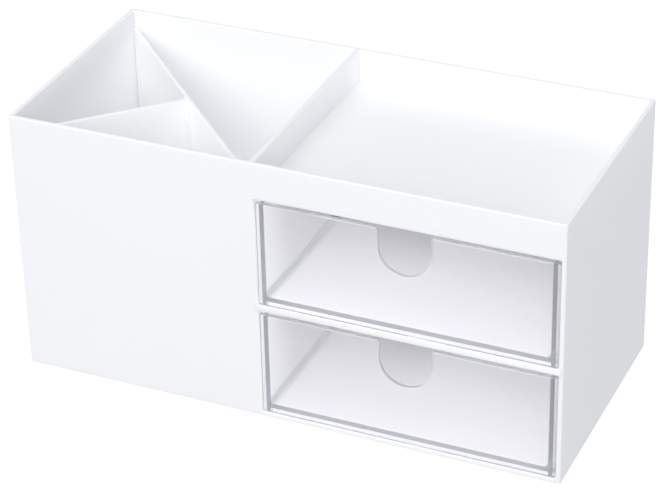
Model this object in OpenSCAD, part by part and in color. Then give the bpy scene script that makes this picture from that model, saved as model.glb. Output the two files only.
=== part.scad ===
// Desk organizer: a moulded housing with a pen bin on the left, an open tray
// on the right and two clear drawers under the tray. Millimetres, +Z up, the
// front faces -Y. The origin is under the middle of the housing, on the
// surface that the organizer stands on.

/* [Housing] */
// Overall width of the housing
body_w = 242; // [200:1:300]
// Overall depth of the housing, front to back
body_d = 110; // [88:1:140]
// Height of the housing, from its lower edge to its rim
body_h = 120; // [98:1:150]
// Thickness of the housing's walls
wall_t = 2; // [1.6:0.1:3]
// Radius of the housing's upright outer corners
corner_r = 1.2; // [0.6:0.1:2]
// Inner width of the pen bin
bin_w = 106.5; // [80:0.5:120]
// Depth of the open tray, from the rim to the tray's floor
tray_depth = 14.4; // [8:0.2:25]
// Thickness of the tray's floor
tray_floor_t = 1.8; // [1.4:0.1:3]

/* [Shelf and base] */
// Thickness of the shelf between the drawers
shelf_t = 2.8; // [2:0.1:4]
// How far the shelf's edges reach into the housing's walls
shelf_tongue = 1; // [0.6:0.1:1.2]
// Thickness of the base panel
base_t = 2; // [1.8:0.1:3]
// How far the base panel's snap lugs stand out
lug_reach = 0.8; // [0.5:0.1:1]
// Width of one snap lug
lug_w = 12; // [8:1:18]

/* [Drawers] */
// Thickness of a drawer's front panel
front_t = 2; // [1.6:0.1:3]
// Thickness of a drawer's side and back walls
drawer_wall_t = 1.8; // [1.4:0.1:2.4]
// Thickness of a drawer's floor
drawer_floor_t = 2; // [1.4:0.1:3]
// Height of the runners under a drawer's floor
runner_h = 1.7; // [1:0.1:3]
// How far a drawer's front panel overlaps its side walls
front_margin = 1.4; // [1:0.1:2.5]
// Radius of the inside corners along a drawer's floor
drawer_floor_r = 3; // [1:0.5:6]
// Width of the finger notch
notch_w = 22.6; // [16:0.2:30]
// Depth of the finger notch, below the top of the front panel
notch_depth = 19.8; // [16:0.2:28]
// Radius of the notch's upper corners
notch_shoulder_r = 1.5; // [0.5:0.1:2.5]

/* [Drawer stops] */
// Height of the stop beads above the front of each bay
stop_bead_h = 1; // [0.8:0.1:1.1]
// Thickness of the stop beads and lugs, front to back
stop_t = 1.6; // [1.2:0.1:2.5]
// Width of one stop bead or lug
stop_w = 10; // [6:1:16]
// Distance of a bead or lug from the side of its bay
stop_inset = 12; // [8:1:20]
// Distance of the beads behind the housing's front face
stop_setback = 16; // [8:1:30]

/* [Dividers] */
// Thickness of the dividers
divider_t = 1.8; // [1.4:0.1:2.5]
// How far the dividers' top edges lie below the rim
divider_drop = 8; // [4:0.5:20]
// Size of the guide ribs on the long divider
guide_rib = 1.2; // [0.8:0.1:2]

/* [Foot pads] */
// Diameter of a foot pad
pad_dia = 10; // [6:0.5:14]
// Thickness of a foot pad
pad_t = 1.2; // [1:0.1:1.6]
// How far the foot pads stand below the housing
pad_proud = 0.6; // [0.4:0.1:0.8]
// Distance of a foot pad's centre from the housing's sides
pad_inset = 14; // [11:1:24]

/* [Clearances] */
// Gap around pieces that are fixed in the housing
seat_gap = 0.1; // [0.05:0.05:0.15]
// Gap at each side of a drawer's front panel
side_gap = 0.4; // [0.3:0.1:0.6]
// Gap under a drawer's runners
runner_gap = 0.2; // [0.1:0.1:0.4]
// Gap between a drawer's front panel and what is above it
top_gap = 1.7; // [1.4:0.1:2]
// Gap behind a closed drawer
back_gap = 0.3; // [0.2:0.1:1]
// Gap around the dividers
divider_gap = 0.3; // [0.2:0.1:0.5]

/* [Hidden] */
$fn = 64;
// More than any size of the organizer, for cuts that run right through
far = 1000;
// How far a cut runs past a face that it opens
over = 1;

// The housing's planes, from left to right
left_x = -body_w / 2;
right_x = body_w / 2;
bin_left_x = left_x + wall_t;
bin_right_x = bin_left_x + bin_w;
bay_left_x = bin_right_x + wall_t;
bay_right_x = right_x - wall_t;
bay_w = bay_right_x - bay_left_x;
bay_mid_x = (bay_left_x + bay_right_x) / 2;

// From front to back
front_y = -body_d / 2;
back_y = body_d / 2;
inner_front_y = front_y + wall_t;
inner_back_y = back_y - wall_t;
bin_d = inner_back_y - inner_front_y;

// From the bottom up
sill_z = pad_proud;
rim_z = sill_z + body_h;
floor_z = sill_z + base_t;
tray_z = rim_z - tray_depth;
ceiling_z = tray_z - tray_floor_t;
bay_h = (ceiling_z - floor_z - shelf_t) / 2;
shelf_z = floor_z + bay_h;
upper_bay_z = shelf_z + shelf_t;

// A drawer, measured from the lower left front corner of its bay
drawer_l = body_d - wall_t - back_gap;
panel_w = bay_w - 2 * side_gap;
panel_bottom = 2 * runner_gap;
panel_top = bay_h - top_gap;
drawer_side_x = side_gap + front_margin;
drawer_body_w = bay_w - 2 * drawer_side_x;
drawer_floor_z = runner_gap + runner_h + drawer_floor_t;
notch_r = notch_w / 2;
stop_lug_top = bay_h - 0.3;

// The dividers, seen from above in the bin's own plane
bin_back_left = [0, bin_d];
bin_front_right = [bin_w, 0];
bin_front_left = [0, 0];
bin_centre = [bin_w / 2, bin_d / 2];
divider_z = floor_z + divider_gap;
divider_h = rim_z - divider_drop - divider_z;

white = [0.95, 0.95, 0.96];
divider_white = [0.91, 0.91, 0.94];
clear = [0.78, 0.82, 0.9, 0.45];
pad_grey = [0.35, 0.36, 0.38];

// ---- Shared shapes ----

// A box from one corner to the opposite one
module block(low, high) {
    translate(low) cube(high - low);
}

// An upright box with rounded upright edges, centred on x and y
module rounded_block(w, d, h, r) {
    block([-w / 2 + r, -d / 2, 0], [w / 2 - r, d / 2, h]);
    block([-w / 2, -d / 2 + r, 0], [w / 2, d / 2 - r, h]);
    for (x = [-w / 2 + r, w / 2 - r], y = [-d / 2 + r, d / 2 - r])
        translate([x, y, 0]) cylinder(r = r, h = h);
}

// ---- Housing ----

// The lugs that hold the base panel, grown by play on every side for their slots
module snap_lugs(play) {
    z = sill_z + base_t / 2;
    low = [-lug_w / 2 - play, -lug_reach - play, -base_t / 4 - play];
    high = [lug_w / 2 + play, lug_reach + play, base_t / 4 + play];
    for (x = [bin_left_x + bin_w / 4, bin_right_x - bin_w / 4]) {
        translate([x, inner_front_y + seat_gap, z]) block(low, high);
        translate([x, inner_back_y - seat_gap, z]) block(low, high);
    }
    translate([bay_mid_x, inner_back_y - seat_gap, z]) block(low, high);
    for (y = [-body_d / 4, body_d / 4]) {
        translate([bin_left_x + seat_gap, y, z]) rotate(90) block(low, high);
        translate([bay_right_x - seat_gap, y, z]) rotate(90) block(low, high);
    }
}

// The shelf's outline, grown by play on every side for its grooves
module shelf_plate(play) {
    block([bay_left_x - shelf_tongue - play, front_y, shelf_z - play],
          [bay_right_x + shelf_tongue + play, inner_back_y + shelf_tongue + play,
           shelf_z + shelf_t + play]);
}

// Beads that a drawer's lugs meet when it is pulled out; z is the bay's ceiling
module stop_beads(z) {
    for (x = [bay_left_x + stop_inset, bay_right_x - stop_inset - stop_w])
        block([x, front_y + stop_setback, z - stop_bead_h],
              [x + stop_w, front_y + stop_setback + stop_t, z]);
}

module housing() {
    color(white) {
        difference() {
            translate([0, 0, sill_z]) rounded_block(body_w, body_d, body_h, corner_r);
            // the pen bin, right through
            block([bin_left_x, inner_front_y, -over], [bin_right_x, inner_back_y, far]);
            // the tray
            block([bay_left_x, inner_front_y, tray_z], [bay_right_x, inner_back_y, far]);
            // both drawer bays, open at the front and underneath
            block([bay_left_x, -far, -over], [bay_right_x, inner_back_y, ceiling_z]);
            // the partition stands on the base panel
            block([bin_right_x - over, inner_front_y, -over],
                  [bay_left_x + over, inner_back_y, floor_z]);
            shelf_plate(seat_gap);
            translate([0, -over, 0]) shelf_plate(seat_gap);
            snap_lugs(seat_gap);
        }
        stop_beads(ceiling_z);
    }
}

module base_panel() {
    color(white) difference() {
        union() {
            block([bin_left_x + seat_gap, inner_front_y + seat_gap, sill_z],
                  [bay_right_x - seat_gap, inner_back_y - seat_gap, floor_z - seat_gap]);
            // the sill under the lower drawer, flush with the housing's front
            block([bay_left_x + seat_gap, front_y, sill_z],
                  [bay_right_x - seat_gap, inner_front_y + over, floor_z - seat_gap]);
            snap_lugs(0);
        }
        // seats for the foot pads
        foot_places() translate([0, 0, -over])
            cylinder(d = pad_dia + 2 * seat_gap, h = pad_t + seat_gap + over);
    }
}

module drawer_shelf() {
    color(white) {
        intersection() {
            shelf_plate(-seat_gap / 2);
            block([-far, front_y, -far], [far, far, far]);
        }
        stop_beads(shelf_z + seat_gap / 2);
    }
}

// ---- Drawers ----

// The finger notch, drawn around its top edge's middle and cut along y
module finger_notch() {
    straight = notch_depth - notch_r;
    translate([0, 0, -straight]) rotate([90, 0, 0])
        cylinder(r = notch_r, h = 3 * front_t, center = true);
    block([-notch_r, -1.5 * front_t, -straight], [notch_r, 1.5 * front_t, over]);
    for (side = [-1, 1]) difference() {
        block([side > 0 ? notch_r - over : -notch_r - notch_shoulder_r,
               -1.5 * front_t, -notch_shoulder_r],
              [side > 0 ? notch_r + notch_shoulder_r : over - notch_r,
               1.5 * front_t, over]);
        translate([side * (notch_r + notch_shoulder_r), 0, -notch_shoulder_r])
            rotate([90, 0, 0])
                cylinder(r = notch_shoulder_r, h = 4 * front_t, center = true);
    }
}

// The space inside a drawer, with rounded corners along its floor
module drawer_space() {
    low_x = drawer_side_x + drawer_wall_t;
    high_x = bay_w - low_x;
    end_y = drawer_l - drawer_wall_t;
    r = drawer_floor_r;
    block([low_x, front_t, drawer_floor_z + r], [high_x, end_y, far]);
    block([low_x + r, front_t, drawer_floor_z], [high_x - r, end_y, far]);
    for (x = [low_x + r, high_x - r])
        translate([x, front_t, drawer_floor_z + r]) rotate([-90, 0, 0])
            cylinder(r = r, h = end_y - front_t);
}

// One drawer, from the lower left front corner of its bay
module drawer() {
    difference() {
        union() {
            block([side_gap, 0, panel_bottom], [side_gap + panel_w, front_t, panel_top]);
            block([drawer_side_x, front_t - over, runner_gap],
                  [drawer_side_x + drawer_body_w, drawer_l, panel_top]);
            // lugs on the back wall that meet the beads
            for (x = [stop_inset, bay_w - stop_inset - stop_w])
                block([x, drawer_l - stop_t, panel_top - over],
                      [x + stop_w, drawer_l, stop_lug_top]);
        }
        drawer_space();
        // hollow between the runners
        block([drawer_side_x + drawer_wall_t, front_t, -far],
              [bay_w - drawer_side_x - drawer_wall_t, far, runner_gap + runner_h]);
        block([-far, -far, -far], [far, front_t, panel_bottom]);
        translate([bay_w / 2, front_t / 2, panel_top]) finger_notch();
    }
}

module upper_drawer() {
    color(clear) translate([bay_left_x, front_y, upper_bay_z]) drawer();
}

module lower_drawer() {
    color(clear) translate([bay_left_x, front_y, floor_z]) drawer();
}

// ---- Dividers ----

// A straight strip of thickness t from p towards q, run on past both ends
module strip(p, q, t, run_on) {
    run = q - p;
    translate(p) rotate(atan2(run[1], run[0])) translate([-run_on, -t / 2])
        square([norm(run) + 2 * run_on, t]);
}

// The bin's plan, less the gap around the dividers
module bin_plan() {
    translate([divider_gap, divider_gap])
        square([bin_w - 2 * divider_gap, bin_d - 2 * divider_gap]);
}

// Stands a plan of the bin up to the dividers' height, in the bin
module stand_in_bin() {
    translate([bin_left_x, inner_front_y, divider_z])
        linear_extrude(height = divider_h) children();
}

module long_divider() {
    color(divider_white) stand_in_bin() {
        intersection() {
            strip(bin_back_left, bin_front_right, divider_t, far);
            bin_plan();
        }
        // two ribs that hold the end of the short divider between them
        difference() {
            intersection() {
                strip(bin_front_left, bin_centre, divider_t + 2 * divider_gap + 2 * guide_rib, 0);
                strip(bin_back_left, bin_front_right, divider_t + 2 * guide_rib, 0);
            }
            strip(bin_front_left, bin_centre, divider_t + 2 * divider_gap, far);
        }
    }
}

module short_divider() {
    color(divider_white) stand_in_bin() intersection() {
        difference() {
            strip(bin_front_left, bin_centre, divider_t, bin_w);
            strip(bin_back_left, bin_front_right, divider_t + 2 * divider_gap, far);
        }
        bin_plan();
        polygon([bin_front_left - [bin_w, bin_d], bin_back_left, bin_front_right]);
    }
}

// ---- Foot pads ----

module foot_places() {
    for (x = [left_x + pad_inset, right_x - pad_inset],
         y = [front_y + pad_inset, back_y - pad_inset])
        translate([x, y, 0]) children();
}

// One foot pad; side is -1 at the left, end is -1 at the front
module foot_pad(side, end) {
    color(pad_grey) translate([side * (body_w / 2 - pad_inset),
                               end * (body_d / 2 - pad_inset), 0])
        cylinder(d = pad_dia, h = pad_t);
}

housing();
base_panel();
drawer_shelf();
upper_drawer();
lower_drawer();
long_divider();
short_divider();
foot_pad(-1, -1);  // front_left_foot
foot_pad(1, -1);  // front_right_foot
foot_pad(-1, 1);  // rear_left_foot
foot_pad(1, 1);  // rear_right_foot
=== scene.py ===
"""Desk organizer: a white moulded housing with a divided pen bin, a tray and two clear drawers."""
import itertools
import math

import bmesh
import bpy
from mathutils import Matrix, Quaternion, Vector


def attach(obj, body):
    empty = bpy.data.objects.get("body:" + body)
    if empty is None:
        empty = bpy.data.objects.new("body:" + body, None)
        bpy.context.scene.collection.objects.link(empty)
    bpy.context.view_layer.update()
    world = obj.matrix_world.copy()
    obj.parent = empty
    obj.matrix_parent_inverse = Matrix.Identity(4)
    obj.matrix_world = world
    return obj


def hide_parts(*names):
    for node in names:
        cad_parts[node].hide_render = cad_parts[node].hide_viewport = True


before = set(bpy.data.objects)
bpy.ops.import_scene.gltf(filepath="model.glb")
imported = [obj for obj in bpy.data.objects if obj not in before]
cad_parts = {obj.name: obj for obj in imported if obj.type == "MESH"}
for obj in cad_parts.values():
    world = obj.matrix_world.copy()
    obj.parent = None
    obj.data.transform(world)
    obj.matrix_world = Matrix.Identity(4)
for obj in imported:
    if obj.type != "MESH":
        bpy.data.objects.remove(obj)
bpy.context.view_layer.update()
MM = 0.001

DIVIDER_NODES = ("long_divider", "short_divider")
PAD_NODES = ("front_left_foot", "front_right_foot", "rear_left_foot", "rear_right_foot")

# Rounding of the nodes that keep their own mesh
SHELF_RADIUS = 0.3 * MM
DIVIDER_RADIUS = 0.4 * MM
PAD_RADIUS = 0.35 * MM

# The housing's planes in millimetres, as in the part: left to right, front to back, bottom to top
LEFT, RIGHT = -121.0, 121.0
BIN_LEFT, BIN_RIGHT = -119.0, -12.5
BAY_LEFT, BAY_RIGHT = -10.5, 119.0
FRONT, BACK = -55.0, 55.0
INNER_FRONT, INNER_BACK = -53.0, 53.0
SILL, FLOOR = 0.6, 2.6
SHELF_LOW, SHELF_HIGH = 52.1, 54.9
CEILING, TRAY, RIM = 104.4, 106.2, 120.6
# How far the shelf's edges reach into the walls
TONGUE = 1.0
# The gap round a piece that is fixed in the housing
GAP = 0.1
# Beyond every face of the organizer
FAR = 200.0
# Edges no further than this above or below the shelf belong to its groove
GROOVE_MARGIN = 1.0
# How far a box runs into its neighbour, so that the two are one solid or one opening
OVERLAP = 1.0
# Two places no further apart than this are the same, and the wider limit for edges with a step
NEAR = 0.01
LOOSE = 0.05

# The beads under the upper bay's ceiling
BEAD_HEIGHT, BEAD_WIDTH, BEAD_INSET = 1.0, 10.0, 12.0
BEAD_FRONT, BEAD_BACK = -39.0, -37.4

# The lugs that hold the base panel: half their width, their reach and half their height
LUG_HALF, LUG_REACH, LUG_RISE = 6.0, 0.8, 0.5
# Those at the sides stand at this share of the housing's half depth
LUG_SHARE = 0.5

# The seats of the foot pads in the base panel
SEAT_X, SEAT_Y = 107.0, 41.0
SEAT_RADIUS, SEAT_TOP, SEAT_FRAME = 5.1, 1.3, 6.5
# Steps in a quarter of a seat's circle
SEAT_STEPS = 12

# A drawer, measured from the lower left front corner of its bay
BAY_WIDTH = BAY_RIGHT - BAY_LEFT
PANEL_SIDE, PANEL_LOW, PANEL_THICK = 0.4, 0.4, 2.0
DRAWER_SIDE, DRAWER_WALL, DRAWER_LENGTH = 1.8, 1.8, 107.7
DRAWER_RIM, RUNNER_LOW, DRAWER_UNDER, DRAWER_FLOOR = 47.8, 0.2, 1.9, 3.9
STOP_LUG_TOP, STOP_LUG_THICK = 49.2, 1.6
NOTCH_RADIUS, NOTCH_STRAIGHT, NOTCH_SHOULDER = 11.3, 8.5, 1.5
NOTCH_FRAME, NOTCH_FRAME_LOW = 16.0, 24.0
# Steps round the notch's half circle, and round each of its upper corners
NOTCH_STEPS, SHOULDER_STEPS = 24, 6
# Rounding along the floor's inner sides, of a drawer's other edges, and of its small steps
FLOOR_RADIUS, DRAWER_RADIUS, STEP_RADIUS = 3.0, 0.4, 0.06

# Rounding of the built pieces, in millimetres: the housing's upright corners, its other outer
# edges, small features and the edges of slots. The part's corners are rounder, but at 1.2 the
# rounding would run into the shelf's groove.
CORNER_RADIUS, RIM_RADIUS, FINE_RADIUS, SLOT_RADIUS = 0.75, 0.45, 0.25, 0.12
CORNER_ROUND_STEPS, FLOOR_ROUND_STEPS, EDGE_ROUND_STEPS = 3, 5, 3

# An edge is rounded if its faces turn by more than this many degrees
SHARP_ANGLE = 30
# Faces of one plane turn by less than this many degrees
FLAT_ANGLE = 0.5
WELD_DISTANCE = 0.001 * MM

# The view: an unshifted camera, fitted to the edges in the photograph
VIEW_AZIMUTH = 24.47
VIEW_ELEVATION = 30.79
VIEW_ROLL = -1.45
VIEW_DISTANCE = 1.070
VIEW_AIM = Vector((0.0023, -0.0119, 0.0606))
LENS = 140.4
SENSOR_WIDTH = 36.0
VIEW_END = 50.0

# The softboxes: name, azimuth, elevation, width in metres and power in watts
SOFTBOXES = (
    ("key", -45, 52, 2.0, 31.0),
    ("fill", 8, 31, 1.8, 56.5),
    ("side", 80, 3, 0.3, 11.0),
    ("top", 20, 80, 2.0, 11.0),
)
SOFTBOX_DISTANCE = 3.0
SKY_STRENGTH = 0.31
SKY_COLOUR = (0.78, 0.85, 1.0)
FLOOR_SIZE = 12.0
# The floor lies a little below the pads
FLOOR_DROP = 0.1 * MM
# Lifts the middle tones as in a bright product photograph
VIEW_GAMMA = 1.65


# ---- Node tree helpers ----

def new_material(name):
    """A material with an empty node tree, and that tree."""
    material = bpy.data.materials.new(name)
    material.use_nodes = True
    material.node_tree.nodes.clear()
    return material, material.node_tree


def add(tree, kind, **values):
    """A shader node whose sockets are set by name; underscores in a name stand for spaces."""
    node = tree.nodes.new(kind)
    for name, value in values.items():
        node.inputs[name.replace("_", " ")].default_value = value
    return node


def object_place(tree):
    """The socket that gives a point's place in the row frame, in metres."""
    return tree.nodes.new("ShaderNodeTexCoord").outputs["Object"]


def noise(tree, scale, detail=2.0):
    """A noise texture of so many features per metre."""
    node = add(tree, "ShaderNodeTexNoise", Scale=scale, Detail=detail)
    tree.links.new(object_place(tree), node.inputs["Vector"])
    return node.outputs["Fac"]


def remap(tree, socket, low, high):
    """The socket's 0 to 1 mapped to low to high."""
    node = add(tree, "ShaderNodeMapRange", To_Min=low, To_Max=high)
    tree.links.new(socket, node.inputs["Value"])
    return node.outputs["Result"]


def bump(tree, height, strength, distance):
    """A bump normal from a height socket; distance is in metres."""
    node = add(tree, "ShaderNodeBump", Strength=strength, Distance=distance)
    tree.links.new(height, node.inputs["Height"])
    return node.outputs["Normal"]


def colour_between(tree, factor, first, second):
    """A colour that goes from first to second with factor."""
    node = tree.nodes.new("ShaderNodeMix")
    node.data_type = "RGBA"
    node.inputs["A"].default_value = (*first, 1)
    node.inputs["B"].default_value = (*second, 1)
    tree.links.new(factor, node.inputs["Factor"])
    return node.outputs["Result"]


def output(tree, shader):
    """Makes the shader the material's surface."""
    tree.links.new(shader, tree.nodes.new("ShaderNodeOutputMaterial").inputs["Surface"])


# ---- Materials ----

WHITE_DEPTH = 1.2 * MM
GLOSS_SPREAD = 0.02
# Noise features per metre
MOTTLE_SCALE, GLOSS_SCALE, GRAIN_SCALE = 14.0, 160.0, 2500.0


def moulded_white(name, light, dark, roughness):
    """Smooth white polystyrene that lets a little light through its walls."""
    material, tree = new_material(name)
    shader = add(tree, "ShaderNodeBsdfPrincipled", IOR=1.5, Specular_IOR_Level=0.5,
                 Subsurface_Weight=1.0, Subsurface_Scale=WHITE_DEPTH)
    shader.inputs["Subsurface Radius"].default_value = (1.0, 1.0, 1.05)
    shader.subsurface_method = "RANDOM_WALK"
    mottle = noise(tree, MOTTLE_SCALE, 2.0)
    tree.links.new(colour_between(tree, mottle, dark, light), shader.inputs["Base Color"])
    polish = noise(tree, GLOSS_SCALE, 4.0)
    gloss = remap(tree, polish, roughness - GLOSS_SPREAD, roughness + GLOSS_SPREAD)
    tree.links.new(gloss, shader.inputs["Roughness"])
    output(tree, shader.outputs["BSDF"])
    return material


def clear_plastic(name):
    """Clear polystyrene with a faint haze and a cool tint. Lamps shine through it."""
    material, tree = new_material(name)
    glass = add(tree, "ShaderNodeBsdfPrincipled", IOR=1.42, Transmission_Weight=0.91,
                Base_Color=(0.99, 0.99, 0.99, 1), Roughness=0.01)
    through = add(tree, "ShaderNodeBsdfTransparent", Color=(0.97, 0.97, 0.97, 1))
    mix = tree.nodes.new("ShaderNodeMixShader")
    path = tree.nodes.new("ShaderNodeLightPath")
    tree.links.new(path.outputs["Is Shadow Ray"], mix.inputs[0])
    tree.links.new(glass.outputs["BSDF"], mix.inputs[1])
    tree.links.new(through.outputs["BSDF"], mix.inputs[2])
    depth = add(tree, "ShaderNodeVolumeAbsorption", Color=(0.68, 0.68, 0.82, 1), Density=55.0)
    end = tree.nodes.new("ShaderNodeOutputMaterial")
    tree.links.new(mix.outputs["Shader"], end.inputs["Surface"])
    tree.links.new(depth.outputs["Volume"], end.inputs["Volume"])
    return material


def pad_rubber(name):
    """Grey non-slip rubber with a fine grain."""
    material, tree = new_material(name)
    shader = add(tree, "ShaderNodeBsdfPrincipled", Roughness=0.75)
    grain = noise(tree, GRAIN_SCALE, 3.0)
    tree.links.new(colour_between(tree, grain, (0.09, 0.095, 0.1), (0.13, 0.135, 0.14)),
                   shader.inputs["Base Color"])
    tree.links.new(bump(tree, grain, 0.3, 0.1 * MM), shader.inputs["Normal"])
    output(tree, shader.outputs["BSDF"])
    return material


def studio_floor(name):
    """White sweep that the studio lights burn out."""
    material, tree = new_material(name)
    shader = add(tree, "ShaderNodeBsdfPrincipled", Base_Color=(0.1, 0.1, 0.1, 1), Roughness=0.9,
                 Emission_Color=(1, 1, 1, 1), Emission_Strength=1.02, Specular_IOR_Level=0.1)
    output(tree, shader.outputs["BSDF"])
    return material


# ---- Meshes built of boxes ----

def grid_of(steps):
    """The planes that the boxes lie on, and the grid's cells that they fill.

    A step is (fills, low corner, high corner) in millimetres; each overrides those before it."""
    planes = []
    for axis in range(3):
        first = round(min(low[axis] for fills, low, high in steps if fills), 4)
        last = round(max(high[axis] for fills, low, high in steps if fills), 4)
        values = {round(corner[axis], 4) for step in steps for corner in step[1:]}
        planes.append(sorted(value for value in values if first <= value <= last))
    filled = set()
    for cell in itertools.product(*(range(len(line) - 1) for line in planes)):
        middle = [(line[n] + line[n + 1]) / 2 for line, n in zip(planes, cell)]
        state = False
        for fills, low, high in steps:
            if all(a < m < b for a, m, b in zip(low, middle, high)):
                state = fills
        if state:
            filled.add(cell)
    return planes, filled


def merged(cells):
    """A plane's cells as few rectangles: (first row, first column, end row, end column)."""
    cells = set(cells)
    while cells:
        row, column = min(cells)
        end_column = column + 1
        while (row, end_column) in cells:
            end_column += 1
        end_row = row + 1
        while all((end_row, n) in cells for n in range(column, end_column)):
            end_row += 1
        cells -= set(itertools.product(range(row, end_row), range(column, end_column)))
        yield row, column, end_row, end_column


def outer_rectangles(planes, filled, frames):
    """The filled cells' outer faces, merged into rectangles within each frame's box and outside them.

    Gives (axis, plane, side, rectangle, frame's number or None)."""
    for axis in range(3):
        rows, columns = (axis + 1) % 3, (axis + 2) % 3
        for plane, side in itertools.product(range(len(planes[axis])), (-1, 1)):
            groups = {}
            for row, column in itertools.product(range(len(planes[rows]) - 1),
                                                 range(len(planes[columns]) - 1)):
                inside = [0, 0, 0]
                inside[rows], inside[columns] = row, column
                outside = list(inside)
                inside[axis] = plane - 1 if side > 0 else plane
                outside[axis] = plane if side > 0 else plane - 1
                if tuple(inside) in filled and tuple(outside) not in filled:
                    middle = [0, 0, 0]
                    middle[axis] = planes[axis][plane]
                    middle[rows] = (planes[rows][row] + planes[rows][row + 1]) / 2
                    middle[columns] = (planes[columns][column] + planes[columns][column + 1]) / 2
                    groups.setdefault(frame_at(middle, frames), set()).add((row, column))
            for number, cells in groups.items():
                for rectangle in merged(cells):
                    yield axis, plane, side, rectangle, number


def frame_at(point, frames):
    """The number of the frame whose box holds the point, or None."""
    for number, (low, high) in enumerate(frames):
        if all(a < p < b for a, p, b in zip(low, point, high)):
            return number
    return None


def outline(axis, plane, rectangle):
    """The grid points round a rectangle, anticlockwise as seen from the axis's far end."""
    row, column, end_row, end_column = rectangle
    points = [(n, column) for n in range(row, end_row)]
    points += [(end_row, n) for n in range(column, end_column)]
    points += [(n, end_column) for n in range(end_row, row, -1)]
    points += [(row, n) for n in range(end_column, column, -1)]
    for a, b in points:
        point = [plane] * 3
        point[(axis + 1) % 3], point[(axis + 2) % 3] = a, b
        yield tuple(point)


def box_mesh(steps, frames=()):
    """A closed mesh of rectangles round the boxes of steps, and the faces in the frames' boxes."""
    planes, filled = grid_of(steps)
    rectangles = list(outer_rectangles(planes, filled, frames))
    corners = set()
    for axis, plane, side, (row, column, end_row, end_column), number in rectangles:
        for a, b in itertools.product((row, end_row), (column, end_column)):
            point = [plane] * 3
            point[(axis + 1) % 3], point[(axis + 2) % 3] = a, b
            corners.add(tuple(point))
    mesh = bmesh.new()
    verts = {}
    for point in sorted(corners):
        verts[point] = mesh.verts.new([line[n] * MM for line, n in zip(planes, point)])
    framed = {}
    for axis, plane, side, rectangle, number in rectangles:
        loop = [verts[point] for point in outline(axis, plane, rectangle) if point in verts]
        face = mesh.faces.new(loop if side > 0 else loop[::-1])
        if number is not None:
            framed[number] = face
    return mesh, framed


def sink_seat(mesh, face, centre, radius, top):
    """Opens a square face that looks down into a frame round a seat that goes up to top."""
    loop = list(face.verts)
    reach = max((vert.co.xy - centre).length for vert in loop)
    # the square's corners are its points furthest from the centre
    starts = [n for n, vert in enumerate(loop) if (vert.co.xy - centre).length > 0.99 * reach]
    loop = loop[starts[0]:] + loop[:starts[0]]
    starts = [n - starts[0] for n in starts] + [len(loop)]
    loop.append(loop[0])
    first = loop[0].co.xy - centre
    base = loop[0].co.z
    turn = -math.tau / (4 * SEAT_STEPS)
    spokes = []
    for n in range(4 * SEAT_STEPS):
        angle = math.atan2(first.y, first.x) + turn * n
        spokes.append(centre + Vector((math.cos(angle), math.sin(angle))) * radius)
    low = [mesh.verts.new((*spoke, base)) for spoke in spokes]
    high = [mesh.verts.new((*spoke, top)) for spoke in spokes]
    mesh.faces.remove(face)
    ring = low + low[:1]
    for side in range(4):
        outer = loop[starts[side]:starts[side + 1] + 1]
        inner = ring[side * SEAT_STEPS:(side + 1) * SEAT_STEPS + 1]
        mesh.faces.new(outer + inner[::-1])
    for n in range(len(low)):
        mesh.faces.new((low[n - 1], low[n], high[n], high[n - 1]))
    mesh.faces.new(high)


def built_piece(name, mesh, radius_at, widest, steps):
    """The mesh as an object, with each sharp edge rounded in so many steps as radius_at says."""
    bmesh.ops.recalc_face_normals(mesh, faces=mesh.faces)
    weight = mesh.edges.layers.float.new("bevel_weight_edge")
    for edge in mesh.edges:
        if edge.calc_face_angle(0) > math.radians(SHARP_ANGLE):
            ends = [vert.co / MM for vert in edge.verts]
            edge[weight] = radius_at(*ends) / widest
    for face in mesh.faces:
        face.smooth = True
    data = bpy.data.meshes.new(name)
    mesh.to_mesh(data)
    mesh.free()
    piece = bpy.data.objects.new(name, data)
    bpy.context.scene.collection.objects.link(piece)
    bevel = piece.modifiers.new("Edges", "BEVEL")
    bevel.width = widest * MM
    bevel.segments = steps
    bevel.limit_method = "WEIGHT"
    bevel.use_clamp_overlap = False
    # the large flat faces set the shading, so that it is even up to the rounded edges
    flats = piece.modifiers.new("Flats", "WEIGHTED_NORMAL")
    flats.weight = 100
    return piece


def stand_in(piece, node, body, material):
    """The piece takes the CAD node's place on its body."""
    piece.data.materials.append(material)
    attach(piece, body)
    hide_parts(node)


# ---- Housing and base panel ----

def lug_boxes(fills, play):
    """The base panel's snap lugs, or with some play the slots for them."""
    half, reach, rise = LUG_HALF + play, LUG_REACH + play, LUG_RISE + play
    quarter = (BIN_RIGHT - BIN_LEFT) / 4
    bay_middle = (BAY_LEFT + BAY_RIGHT) / 2
    height = SILL + (FLOOR - SILL) / 2
    ends = [(BIN_LEFT + quarter, INNER_FRONT + GAP), (BIN_RIGHT - quarter, INNER_FRONT + GAP),
            (BIN_LEFT + quarter, INNER_BACK - GAP), (BIN_RIGHT - quarter, INNER_BACK - GAP),
            (bay_middle, INNER_BACK - GAP)]
    sides = itertools.product((BIN_LEFT + GAP, BAY_RIGHT - GAP),
                              (FRONT * LUG_SHARE, BACK * LUG_SHARE))
    for x, y in ends:
        yield fills, (x - half, y - reach, height - rise), (x + half, y + reach, height + rise)
    for x, y in sides:
        yield fills, (x - reach, y - half, height - rise), (x + reach, y + half, height + rise)


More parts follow.
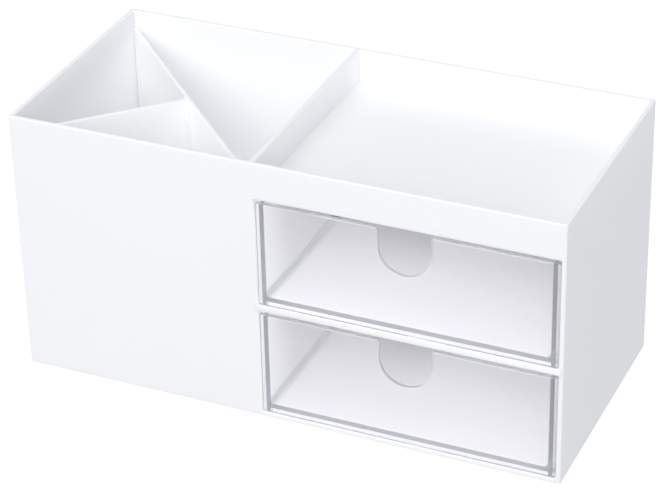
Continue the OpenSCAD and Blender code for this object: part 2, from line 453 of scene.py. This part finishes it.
def housing_boxes():
    """The housing: a block with the bin, the tray and the open drawer bays cut out."""
    yield True, (LEFT, FRONT, SILL), (RIGHT, BACK, RIM)
    yield False, (BIN_LEFT, INNER_FRONT, -FAR), (BIN_RIGHT, INNER_BACK, FAR)
    yield False, (BAY_LEFT, INNER_FRONT, TRAY), (BAY_RIGHT, INNER_BACK, FAR)
    yield False, (BAY_LEFT, -FAR, -FAR), (BAY_RIGHT, INNER_BACK, CEILING)
    # the partition stands on the base panel
    yield (False, (BIN_RIGHT - OVERLAP, INNER_FRONT, -FAR),
           (BAY_LEFT + OVERLAP, INNER_BACK, FLOOR))
    # grooves for the shelf
    yield (False, (BAY_LEFT - TONGUE - GAP, -FAR, SHELF_LOW - GAP),
           (BAY_RIGHT + TONGUE + GAP, INNER_BACK + TONGUE + GAP, SHELF_HIGH + GAP))
    yield from lug_boxes(False, GAP)
    for x in (BAY_LEFT + BEAD_INSET, BAY_RIGHT - BEAD_INSET - BEAD_WIDTH):
        yield (True, (x, BEAD_FRONT, CEILING - BEAD_HEIGHT),
               (x + BEAD_WIDTH, BEAD_BACK, CEILING))


def housing_radius(start, end):
    """Rounding of the housing's edge from start to end, in millimetres."""
    middle = (start + end) / 2
    at_side, at_end = abs(middle.x) > RIGHT - NEAR, abs(middle.y) > BACK - NEAR
    if at_side and at_end:
        return CORNER_RADIUS
    if middle.z < FLOOR + NEAR and not (at_side or at_end):
        return SLOT_RADIUS
    low, high = min(start.z, end.z), max(start.z, end.z)
    if SHELF_LOW - GROOVE_MARGIN < low and high < SHELF_HIGH + GROOVE_MARGIN:
        return SLOT_RADIUS
    if CEILING - 2 * BEAD_HEIGHT < middle.z < CEILING - NEAR and middle.y < BEAD_BACK + NEAR:
        return FINE_RADIUS
    return RIM_RADIUS


def base_boxes():
    """The base panel: a plate in the housing, with the sill under the lower drawer."""
    yield (True, (BIN_LEFT + GAP, INNER_FRONT + GAP, SILL),
           (BAY_RIGHT - GAP, INNER_BACK - GAP, FLOOR - GAP))
    yield (True, (BAY_LEFT + GAP, FRONT, SILL),
           (BAY_RIGHT - GAP, INNER_FRONT + OVERLAP, FLOOR - GAP))
    yield from lug_boxes(True, 0.0)
    # squares in the plate, for the frames round the seats
    for x, y in itertools.product((-SEAT_X, SEAT_X), (-SEAT_Y, SEAT_Y)):
        yield (True, (x - SEAT_FRAME, y - SEAT_FRAME, SILL),
               (x + SEAT_FRAME, y + SEAT_FRAME, FLOOR - GAP))


def base_mesh():
    """The base panel's mesh, with a round seat for each foot pad."""
    places = list(itertools.product((-SEAT_X, SEAT_X), (-SEAT_Y, SEAT_Y)))
    frames = [((x - SEAT_FRAME, y - SEAT_FRAME, SILL - GAP),
               (x + SEAT_FRAME, y + SEAT_FRAME, SILL + GAP)) for x, y in places]
    mesh, framed = box_mesh(list(base_boxes()), frames)
    for number, (x, y) in enumerate(places):
        sink_seat(mesh, framed[number], Vector((x, y)) * MM, SEAT_RADIUS * MM, SEAT_TOP * MM)
    return mesh


def base_radius(start, end):
    """Rounding of the base panel's edge from start to end, in millimetres."""
    on_top = min(start.z, end.z) > FLOOR - GAP - NEAR
    in_front = max(start.y, end.y) < INNER_FRONT
    return FINE_RADIUS if on_top or in_front else SLOT_RADIUS


# ---- Drawers ----

def drawer_boxes(base):
    """A drawer whose bay's floor is at height base: a panel and a tub that stands on two runners."""
    middle = BAY_WIDTH / 2
    inside = DRAWER_SIDE + DRAWER_WALL
    steps = [
        (True, (PANEL_SIDE, 0, PANEL_LOW), (BAY_WIDTH - PANEL_SIDE, PANEL_THICK, DRAWER_RIM)),
        (True, (DRAWER_SIDE, PANEL_THICK, RUNNER_LOW),
         (BAY_WIDTH - DRAWER_SIDE, DRAWER_LENGTH, DRAWER_RIM)),
        (False, (inside, PANEL_THICK, DRAWER_FLOOR),
         (BAY_WIDTH - inside, DRAWER_LENGTH - DRAWER_WALL, FAR)),
        (False, (inside, PANEL_THICK, -FAR), (BAY_WIDTH - inside, FAR, DRAWER_UNDER)),
        # the part of the panel that the finger notch is cut in
        (True, (middle - NOTCH_FRAME, 0, NOTCH_FRAME_LOW),
         (middle + NOTCH_FRAME, PANEL_THICK, DRAWER_RIM)),
    ]
    for x in (BEAD_INSET, BAY_WIDTH - BEAD_INSET - BEAD_WIDTH):
        steps.append((True, (x, DRAWER_LENGTH - STOP_LUG_THICK, DRAWER_RIM - OVERLAP),
                      (x + BEAD_WIDTH, DRAWER_LENGTH, STOP_LUG_TOP)))
    for fills, low, high in steps:
        yield (fills, (low[0] + BAY_LEFT, low[1] + FRONT, low[2] + base),
               (high[0] + BAY_LEFT, high[1] + FRONT, high[2] + base))


def notch_outline(middle, top):
    """The finger notch's points in x and z, from its left end to its right end."""
    end = middle - NOTCH_RADIUS - NOTCH_SHOULDER
    points = []
    for n in range(SHOULDER_STEPS + 1):
        angle = math.pi / 2 * n / SHOULDER_STEPS
        points.append((end + NOTCH_SHOULDER * math.sin(angle),
                       top - NOTCH_SHOULDER + NOTCH_SHOULDER * math.cos(angle)))
    for n in range(NOTCH_STEPS + 1):
        angle = math.pi + math.pi * n / NOTCH_STEPS
        points.append((middle + NOTCH_RADIUS * math.cos(angle),
                       top - NOTCH_STRAIGHT + NOTCH_RADIUS * math.sin(angle)))
    right = [(2 * middle - x, z) for x, z in points[:SHOULDER_STEPS + 1]]
    return points + right[::-1]


def opened_at_top(face, top):
    """The face's corners in order, from one end of its top edge round to the other end."""
    loop = list(face.verts)
    high = [abs(vert.co.z - top) < NEAR * MM for vert in loop]
    start = next(n for n in range(len(loop)) if high[n] and not high[(n + 1) % len(loop)])
    return loop[start:] + loop[:start]


def cut_notch(mesh, front, back, above, points):
    """Cuts the outline of points through the panel, between its framed front, back and top faces."""
    top = max(z for x, z in points)
    sheets = []
    for face in (front, back):
        loop = opened_at_top(face, top * MM)
        depth = loop[0].co.y
        row = [mesh.verts.new((x * MM, depth, z * MM)) for x, z in points]
        left_first = loop[0].co.x < loop[-1].co.x
        ends = (loop[0], loop[-1]) if left_first else (loop[-1], loop[0])
        sheets.append((loop, row, left_first, ends))
    bmesh.ops.delete(mesh, geom=[front, back, above], context="FACES_ONLY")
    for edge in [edge for edge in mesh.edges if not edge.link_faces]:
        mesh.edges.remove(edge)
    for loop, row, left_first, ends in sheets:
        mesh.faces.new(loop + (row[::-1] if left_first else row))
    (_, front_row, _, front_ends), (_, back_row, _, back_ends) = sheets
    mesh.faces.new((front_ends[0], front_row[0], back_row[0], back_ends[0]))
    mesh.faces.new((front_row[-1], front_ends[1], back_ends[1], back_row[-1]))
    for n in range(len(points) - 1):
        mesh.faces.new((front_row[n], front_row[n + 1], back_row[n + 1], back_row[n]))


def drawer_mesh(base):
    """A drawer's mesh, with the finger notch in its panel."""
    middle = (BAY_LEFT + BAY_RIGHT) / 2
    left, right = middle - NOTCH_FRAME, middle + NOTCH_FRAME
    rim, low = base + DRAWER_RIM, base + NOTCH_FRAME_LOW
    behind = FRONT + PANEL_THICK
    frames = [((left, FRONT - GAP, low), (right, FRONT + GAP, rim)),
              ((left, behind - GAP, low), (right, behind + GAP, rim)),
              ((left, FRONT, rim - GAP), (right, behind, rim + GAP))]
    mesh, framed = box_mesh(list(drawer_boxes(base)), frames)
    cut_notch(mesh, framed[0], framed[1], framed[2], notch_outline(middle, rim))
    return mesh


def drawer_radius(base):
    """A function that gives the rounding of each edge of that drawer, in millimetres."""
    middle = (BAY_LEFT + BAY_RIGHT) / 2
    inside = BAY_WIDTH / 2 - DRAWER_SIDE - DRAWER_WALL
    outside = BAY_WIDTH / 2 - DRAWER_SIDE
    lug_front = DRAWER_LENGTH - STOP_LUG_THICK

    def radius_at(start, end):
        side = min(abs(start.x - middle), abs(end.x - middle))
        low, high = min(start.z, end.z) - base, max(start.z, end.z) - base
        near, deep = min(start.y, end.y) - FRONT, max(start.y, end.y) - FRONT
        behind_panel = abs(near - PANEL_THICK) < NEAR and abs(deep - PANEL_THICK) < NEAR
        on_floor = abs(low - DRAWER_FLOOR) < NEAR and abs(high - DRAWER_FLOOR) < NEAR
        if on_floor and abs(side - inside) < NEAR and deep - near > PANEL_THICK:
            return FLOOR_RADIUS
        if high < PANEL_LOW + LOOSE:
            if behind_panel:
                return 0.0
            return FINE_RADIUS if deep < PANEL_THICK + NEAR else STEP_RADIUS
        if behind_panel and (abs(side - outside) < NEAR or high < DRAWER_UNDER + NEAR):
            return STEP_RADIUS
        if low > DRAWER_RIM - NEAR:
            if near > lug_front - DRAWER_WALL and deep < lug_front + LOOSE:
                return STEP_RADIUS
            if near > lug_front - LOOSE:
                return STEP_RADIUS if high < STOP_LUG_TOP - NEAR else FINE_RADIUS
        return FINE_RADIUS if high < DRAWER_UNDER + NEAR else DRAWER_RADIUS

    return radius_at


# ---- Nodes that keep their own mesh ----

def dress(node, material, radius):
    """Gives a CAD node its material and rounds its moulded edges."""
    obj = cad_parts[node]
    obj.data.materials.clear()
    obj.data.materials.append(material)
    weld = obj.modifiers.new("Weld", "WELD")
    weld.merge_threshold = WELD_DISTANCE
    flats = obj.modifiers.new("Flats", "DECIMATE")
    flats.decimate_type = "DISSOLVE"
    flats.angle_limit = math.radians(FLAT_ANGLE)
    bevel = obj.modifiers.new("Edges", "BEVEL")
    bevel.width = radius
    bevel.segments = EDGE_ROUND_STEPS
    bevel.limit_method = "ANGLE"
    bevel.angle_limit = math.radians(SHARP_ANGLE)
    bevel.use_clamp_overlap = False
    bevel.harden_normals = True
    bevel.miter_outer = "MITER_ARC"
    for polygon in obj.data.polygons:
        polygon.use_smooth = True


def build_organizer():
    """Gives every piece its shape and its material."""
    white = moulded_white("white_plastic", (0.978, 0.981, 0.989), (0.974, 0.977, 0.985), 0.36)
    divider_white = moulded_white("divider_plastic", (0.976, 0.979, 0.988), (0.972, 0.975, 0.984),
                                  0.38)
    clear = clear_plastic("clear_plastic")
    rubber = pad_rubber("pad_rubber")

    shell_mesh, _ = box_mesh(list(housing_boxes()))
    shell = built_piece("housing_shell", shell_mesh, housing_radius, CORNER_RADIUS,
                        CORNER_ROUND_STEPS)
    stand_in(shell, "housing", "housing_body", white)
    plate = built_piece("base_plate", base_mesh(), base_radius, CORNER_RADIUS,
                        CORNER_ROUND_STEPS)
    stand_in(plate, "base_panel", "housing_body", white)
    for node, base in (("upper_drawer", SHELF_HIGH), ("lower_drawer", FLOOR)):
        drawer = built_piece(node + "_tub", drawer_mesh(base), drawer_radius(base), FLOOR_RADIUS,
                             FLOOR_ROUND_STEPS)
        stand_in(drawer, node, node + "_body", clear)
    dress("drawer_shelf", white, SHELF_RADIUS)
    for node in DIVIDER_NODES:
        dress(node, divider_white, DIVIDER_RADIUS)
    for node in PAD_NODES:
        dress(node, rubber, PAD_RADIUS)


# ---- Studio ----

def floor():
    """The surface that the organizer stands on."""
    bpy.ops.mesh.primitive_plane_add(size=FLOOR_SIZE, location=(0, 0, -FLOOR_DROP))
    plane = bpy.context.object
    plane.name = "studio_floor"
    plane.data.materials.append(studio_floor("studio_floor"))
    plane.visible_diffuse = False


def direction(azimuth, elevation):
    """The unit vector towards that direction; azimuth 0 is straight in front, and +X is at 90."""
    a, e = math.radians(azimuth), math.radians(elevation)
    return Vector((math.sin(a) * math.cos(e), -math.cos(a) * math.cos(e), math.sin(e)))


def softbox(name, azimuth, elevation, size, power):
    """A square lamp that looks at the organizer's middle from that direction."""
    data = bpy.data.lights.new(name, "AREA")
    data.shape = "SQUARE"
    data.size = size
    data.energy = power
    light = bpy.data.objects.new(name, data)
    out = direction(azimuth, elevation)
    light.location = VIEW_AIM + out * SOFTBOX_DISTANCE
    light.rotation_euler = out.to_track_quat("Z", "Y").to_euler()
    bpy.context.scene.collection.objects.link(light)


def sky():
    """A dim, even, slightly cool light from everywhere."""
    world = bpy.data.worlds.new("studio_world")
    world.use_nodes = True
    background = world.node_tree.nodes["Background"]
    background.inputs["Color"].default_value = (*SKY_COLOUR, 1)
    background.inputs["Strength"].default_value = SKY_STRENGTH
    bpy.context.scene.world = world


def camera():
    """The camera of the fitted view."""
    data = bpy.data.cameras.new("photo_camera")
    data.lens = LENS
    data.sensor_width = SENSOR_WIDTH
    data.clip_end = VIEW_END
    cam = bpy.data.objects.new("photo_camera", data)
    out = direction(VIEW_AZIMUTH, VIEW_ELEVATION)
    cam.location = VIEW_AIM + out * VIEW_DISTANCE
    level = out.to_track_quat("Z", "Y")
    roll = Quaternion((0, 0, 1), math.radians(VIEW_ROLL))
    cam.rotation_euler = (level @ roll).to_euler()
    bpy.context.scene.collection.objects.link(cam)
    bpy.context.scene.camera = cam


def picture_settings():
    """Tone of the picture, and enough bounces for clear drawers in a white box."""
    scene = bpy.context.scene
    scene.view_settings.view_transform = "Standard"
    scene.view_settings.look = "None"
    scene.view_settings.gamma = VIEW_GAMMA
    scene.cycles.max_bounces = 24
    scene.cycles.diffuse_bounces = 16
    scene.cycles.transmission_bounces = 24
    scene.cycles.glossy_bounces = 12
    scene.cycles.transparent_max_bounces = 24


build_organizer()
floor()
camera()
sky()
for box in SOFTBOXES:
    softbox(*box)
picture_settings()
